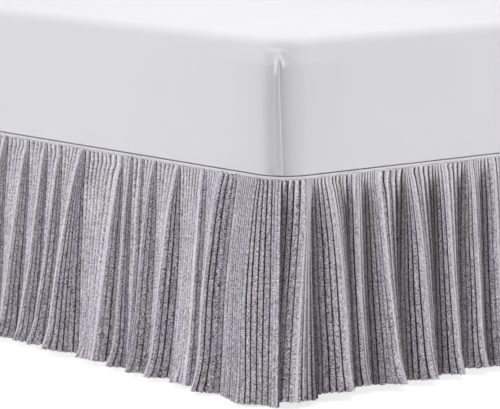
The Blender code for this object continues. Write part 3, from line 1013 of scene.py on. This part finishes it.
def sheet_stations():
    """Places round the mattress.

    Each is the point that its curve turns about, its outward direction, and its distance from the middle of
    the nearest corner.
    """
    core_x = HALF_WIDTH - BED_CORNER
    core_y = BED_LENGTH / 2 - BED_CORNER
    places = sorted([*range(FINE_PLACES[0], FINE_PLACES[1] + 1), *COARSE_PLACES])
    offsets = [-CORNER_RUN / 2, *(place / 1000 for place in places), CORNER_RUN / 2]
    corners = [(1, 1), (-1, 1), (-1, -1), (1, -1)]
    stations = []
    for number, (side, end) in enumerate(corners):
        core = Vector((side * core_x, end * core_y + BED_SHIFT, 0.0))
        for offset in offsets:
            turn = math.pi / 4 + number * math.pi / 2 + offset / BED_CORNER
            stations.append((core, Vector((math.cos(turn), math.sin(turn), 0.0)), offset))
        next_side, next_end = corners[(number + 1) % 4]
        far = Vector((next_side * core_x, next_end * core_y + BED_SHIFT, 0.0))
        facing = stations[-1][1]
        run = (far - core).length
        steps = round(run / SHEET_STEP)
        for step in range(1, steps):
            place = run * step / steps
            offset = CORNER_RUN / 2 + (place if place < run / 2 else place - run)
            if place >= run / 2:
                offset -= CORNER_RUN
            stations.append((core.lerp(far, step / steps), facing, offset))
    return stations


def sheet_profile():
    """The mattress's section, in rows.

    Each is how far in from its side, how high, how much it faces up, and how far down the side from where
    the flat top ends.
    """
    top = MATTRESS_UNDERSIDE + MATTRESS_HEIGHT - MATTRESS_CROWN
    leaning = math.atan(2 * SHEET_LEAN / SHEET_LEAN_REACH)
    shoulder_run = (math.pi / 2 - leaning) * SHEET_SHOULDER
    side_top = top - SHEET_SHOULDER * (1 - math.sin(leaning))
    side_low = MATTRESS_UNDERSIDE + MATTRESS_LOWER_EDGE
    side_bend = side_top - SHEET_HIGH_REACH
    heights = [side_low + (side_bend - side_low) * step / SHEET_LOW_ROWS for step in range(SHEET_LOW_ROWS)]
    heights += [side_bend + SHEET_HIGH_REACH * step / SHEET_HIGH_ROWS for step in range(SHEET_HIGH_ROWS)]
    rows = [(MATTRESS_UNDER_INSET, MATTRESS_UNDERSIDE, -1.0, side_top - side_low + shoulder_run)]
    for step in range(SHEET_EDGE_ROWS):
        turn = math.pi / 2 * step / SHEET_EDGE_ROWS
        inset = MATTRESS_LOWER_EDGE * (1 - math.sin(turn))
        height = side_low - MATTRESS_LOWER_EDGE * math.cos(turn)
        rows.append((inset, height, -math.cos(turn), side_top - side_low + shoulder_run))
    for height in heights:
        lean = SHEET_LEAN * max(0.0, 1 - (side_top - height) / SHEET_LEAN_REACH) ** 2
        rows.append((lean, height, 0.0, side_top - height + shoulder_run))
    for step in range(SHEET_SHOULDER_ROWS + 1):
        turn = leaning + (math.pi / 2 - leaning) * step / SHEET_SHOULDER_ROWS
        inset = SHEET_LEAN + SHEET_SHOULDER * (math.cos(leaning) - math.cos(turn))
        height = side_top + SHEET_SHOULDER * (math.sin(turn) - math.sin(leaning))
        rows.append((inset, height, math.sin(turn), shoulder_run * (1 - step / SHEET_SHOULDER_ROWS)))
    return rows


def crease_relief(creases, along, down):
    """The rise of listed creases at a place on the sheet, each a soft ridge or trough along a line."""
    relief = 0.0
    for crease in creases:
        start = Vector((crease["from_along"], crease["from_down"]))
        way = Vector((crease["to_along"], crease["to_down"])) - start
        place = Vector((along, down)) - start
        share = place.dot(way) / way.length_squared
        from_end = min(share, 1 - share) + CREASE_TAPER
        if from_end > 0.0:
            aside = abs(place.x * way.y - place.y * way.x) / way.length
            taper = eased(from_end / (2 * CREASE_TAPER))
            relief += crease["rise"] * taper * eased(1 - aside / (2 * crease["wide"]))
    return relief


def flap_edges(down, side_length):
    """The flap's left and right edges at a height on the sheet's side."""
    lower = min(1.0, max(0.0, (down - FLAP_TOP) / (side_length - FLAP_TOP)))
    return [top + (bottom - top) * lower for top, bottom in (FLAP_LEFT, FLAP_RIGHT)]


def flap_started(down):
    """How far the flap has risen out of the sheet at a height on its side."""
    return eased((down - FLAP_TOP) / FLAP_START + 1)


def flap_relief(along, down, side_length):
    """The folded flap down each corner, crisp along its right edge, with a shallow trough on both sides."""
    left, right = flap_edges(down, side_length)
    from_left = eased((along - left + FLAP_LEFT_SOFT) / (2 * FLAP_LEFT_SOFT))
    from_right = eased((right + FLAP_RIGHT_OUT - along) / FLAP_RIGHT_WIDE)
    away = max(left - along, along - right)
    trough = TROUGH_DEPTH * eased(1 - abs(away - TROUGH_AWAY) / TROUGH_HALF) if away > 0 else 0.0
    return flap_started(down) * (FLAP_RISE * from_left * from_right - trough)


def flap_shade(along, down, side_length):
    """How dark the painted shade is beside the flap, and how light the painted highlight along the flap's
    right edge.
    """
    left, right = flap_edges(down, side_length)
    away = max(0.0, left - along, along - right - FLAP_EDGE)
    beside = sum(share * math.exp(-away / reach) for share, reach in FLAP_SHADES)
    dark = FLAP_PAINTED_SHADE if away == 0.0 else beside
    light = FLAP_EDGE_PAINTED_HIGHLIGHT * eased(1 - abs(along - right + FLAP_EDGE / 2) / FLAP_EDGE_WIDE)
    return flap_started(down) * dark, flap_started(down) * light


def sheet_side_ring(shape, stations, row, side_length, creases, wrinkles):
    """One ring of the sheet round the mattress, with the painted shade and painted highlight of its creases
    and flap.
    """
    inset, height, up, down = row
    painted_shade_layer = shape.verts.layers.float["crease"]
    painted_highlight_layer = shape.verts.layers.float["ridge"]
    ring = []
    for core, facing, along in stations:
        place = core + facing * (BED_CORNER - inset)
        place.z = height
        folded = crease_relief(creases, along, down)
        relief = folded + flap_relief(along, down, side_length)
        relief += crease_relief(wrinkles, along, down)
        relief += SHEET_SOFTNESS * noise.noise(place * SHEET_SIDE_WAVES)
        outward = facing * math.sqrt(max(0.0, 1 - up * up)) + Vector((0.0, 0.0, up))
        vertex = shape.verts.new(place + outward * relief * (0.0 if up < 0 else 1.0))
        # Painted shade and painted highlight from the flap and from the creases' troughs and ridges
        dark, light = flap_shade(along, down, side_length)
        vertex[painted_shade_layer] = max(dark, -folded / CREASE_LIGHT_AND_SHADE_RELIEF)
        vertex[painted_highlight_layer] = max(light, folded / CREASE_LIGHT_AND_SHADE_RELIEF)
        ring.append(vertex)
    return ring


def sheet_top_ring(shape, rim, share):
    """One ring of the sheet's crowned top, at a share of the way out to its rim."""
    middle = Vector((0.0, BED_SHIFT, 0.0))
    ring = []
    for corner in rim:
        place = middle + (corner - middle) * share
        place.z = corner.z + MATTRESS_CROWN * (1 - share * share)
        place.z += SHEET_SOFTNESS * noise.noise(place * SHEET_TOP_WAVES) * (1 - share)
        ring.append(shape.verts.new(place))
    return ring


def join_sheet_rings(shape, rings, profile, lengths):
    """The sheet's faces between its rings and over both ends, with the cloth's own UV map."""
    count = len(rings[0])
    cloth = shape.loops.layers.uv.new("cloth")
    for row, (low, high) in enumerate(zip(rings, rings[1:])):
        for number in range(count):
            after = (number + 1) % count
            face = shape.faces.new((low[number], low[after], high[after], high[number]))
            for loop, (spot, level) in zip(face.loops, ((0, 0), (1, 0), (1, 1), (0, 1))):
                if row + 1 < len(profile):
                    loop[cloth].uv = (lengths[number] + spot * SHEET_STEP, -profile[row + level][3])
                else:
                    loop[cloth].uv = loop.vert.co.xy
    shape.faces.new(list(reversed(rings[0])))
    shape.faces.new(rings[-1])


def make_mattress(material):
    """The mattress in its fitted sheet, with a folded flap and small creases at the corners."""
    stations = sheet_stations()
    profile = sheet_profile()
    creases = table_rows(CREASE_COLUMNS, SHEET_CREASES)
    wrinkles = table_rows(CREASE_COLUMNS, SHEET_WRINKLES)
    side_length = profile[1][3]
    lengths = [0.0]
    for (core, facing, _), (next_core, next_facing, _) in zip(stations, stations[1:]):
        step = next_core + next_facing * BED_CORNER - core - facing * BED_CORNER
        lengths.append(lengths[-1] + step.length)
    shape = bmesh.new()
    # Attributes for the painted shade and painted highlights of the sheet's creases and flap
    for layer in ("crease", "ridge"):
        shape.verts.layers.float.new(layer)
    rings = [sheet_side_ring(shape, stations, row, side_length, creases, wrinkles) for row in profile]
    rim = [vertex.co.copy() for vertex in rings[-1]]
    rings += [sheet_top_ring(shape, rim, share) for share in SHEET_TOP_SHARES]
    join_sheet_rings(shape, rings, profile, lengths)
    piece = new_object("fitted_sheet_mattress", shape, material)
    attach(piece, "root")
    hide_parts("mattress")


def make_binding(material):
    """The pale strip, slightly rounded and puckered by the gathers sewn to it."""
    draw = random.Random(STRIP_SEED)
    across = round(EDGE_LENGTH / STRIP_STEP)
    puckers = [draw.uniform(-STRIP_PUCKER, STRIP_PUCKER) for _ in range(across + 1)]
    half = BINDING_HEIGHT / 2
    shape = bmesh.new()
    bmesh.ops.create_grid(shape, x_segments=across, y_segments=STRIP_ROWS, size=1.0)
    spots = {}
    for vertex in shape.verts:
        station = round((vertex.co.x + 1) / 2 * across)
        lift = vertex.co.y
        spots[vertex.index] = (station, lift)
        out = SEAM_DEPTH + STRIP_BULGE * (1 - lift * lift) + puckers[station] * (1 - lift) / 2
        plan = edge_point(EDGE_LENGTH * station / across, out)
        vertex.co = (plan.x, plan.y, DECK_TOP - half + half * lift)
    cloth = shape.loops.layers.uv.new("cloth")
    for face in shape.faces:
        for loop in face.loops:
            station, lift = spots[loop.vert.index]
            loop[cloth].uv = (EDGE_LENGTH * station / across, half * lift)
    piece = new_object("binding_strip", shape, material)
    give_thickness(piece, STRIP_THICK, 0.0)
    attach(piece, "root")
    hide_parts("binding")


def make_deck(material):
    """The flat cloth between the base and the mattress, rounded at the foot and hemmed at the head."""
    low_y = FOOT_Y + DECK_SIDE_INSET
    high_y = HEAD_Y - HEAD_SETBACK
    bpy.ops.object.select_all(action="DESELECT")
    middle = (0.0, (low_y + high_y) / 2, DECK_TOP - DECK_THICK / 2)
    bpy.ops.mesh.primitive_plane_add(size=1.0, location=middle)
    piece = bpy.context.object
    piece.name = "deck_cloth"
    piece.scale = (2 * (HALF_WIDTH - DECK_SIDE_INSET), high_y - low_y, 1.0)
    bpy.ops.object.transform_apply(location=True, scale=True)
    bpy.ops.object.mode_set(mode="EDIT")
    bpy.ops.mesh.select_mode(type="VERT")
    bpy.ops.mesh.select_all(action="DESELECT")
    cloth = bmesh.from_edit_mesh(piece.data)
    for vertex in cloth.verts:
        vertex.select_set(vertex.co.y < 0.0)
    cloth.select_flush_mode()
    bmesh.update_edit_mesh(piece.data)
    bpy.ops.mesh.bevel(offset=DECK_CORNER, segments=DECK_CORNER_STEPS, affect="VERTICES")
    bpy.ops.mesh.select_all(action="DESELECT")
    cloth = bmesh.from_edit_mesh(piece.data)
    for edge in cloth.edges:
        edge.select_set(all(vertex.co.y > high_y - EDGE_MARGIN for vertex in edge.verts))
    bmesh.update_edit_mesh(piece.data)
    bpy.ops.mesh.extrude_region_move(TRANSFORM_OT_translate={"value": DECK_HEM_FOLD})
    bpy.ops.mesh.extrude_region_move(TRANSFORM_OT_translate={"value": (0.0, -DECK_HEM, 0.0)})
    bpy.ops.object.mode_set(mode="OBJECT")
    piece.data.materials.append(material)
    give_thickness(piece, DECK_CLOTH_THICK, 0.0)
    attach(piece, "root")
    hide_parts("deck")


def main():
    weave = weave_group()
    add_camera()
    add_studio()
    add_floor()
    make_ruffles(glitter_material())
    make_mattress(woven_material("white_sheet", weave))
    make_binding(woven_material("pale_strip", weave))
    make_deck(woven_material("deck_cloth", weave))
    ticking = woven_material("base_ticking", weave)
    wood = wood_material()
    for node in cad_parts:
        if node == "base" or node.startswith("leg"):
            solid = bpy.data.objects[node]
            solid.data.materials.clear()
            solid.data.materials.append(ticking if node == "base" else wood)


main()
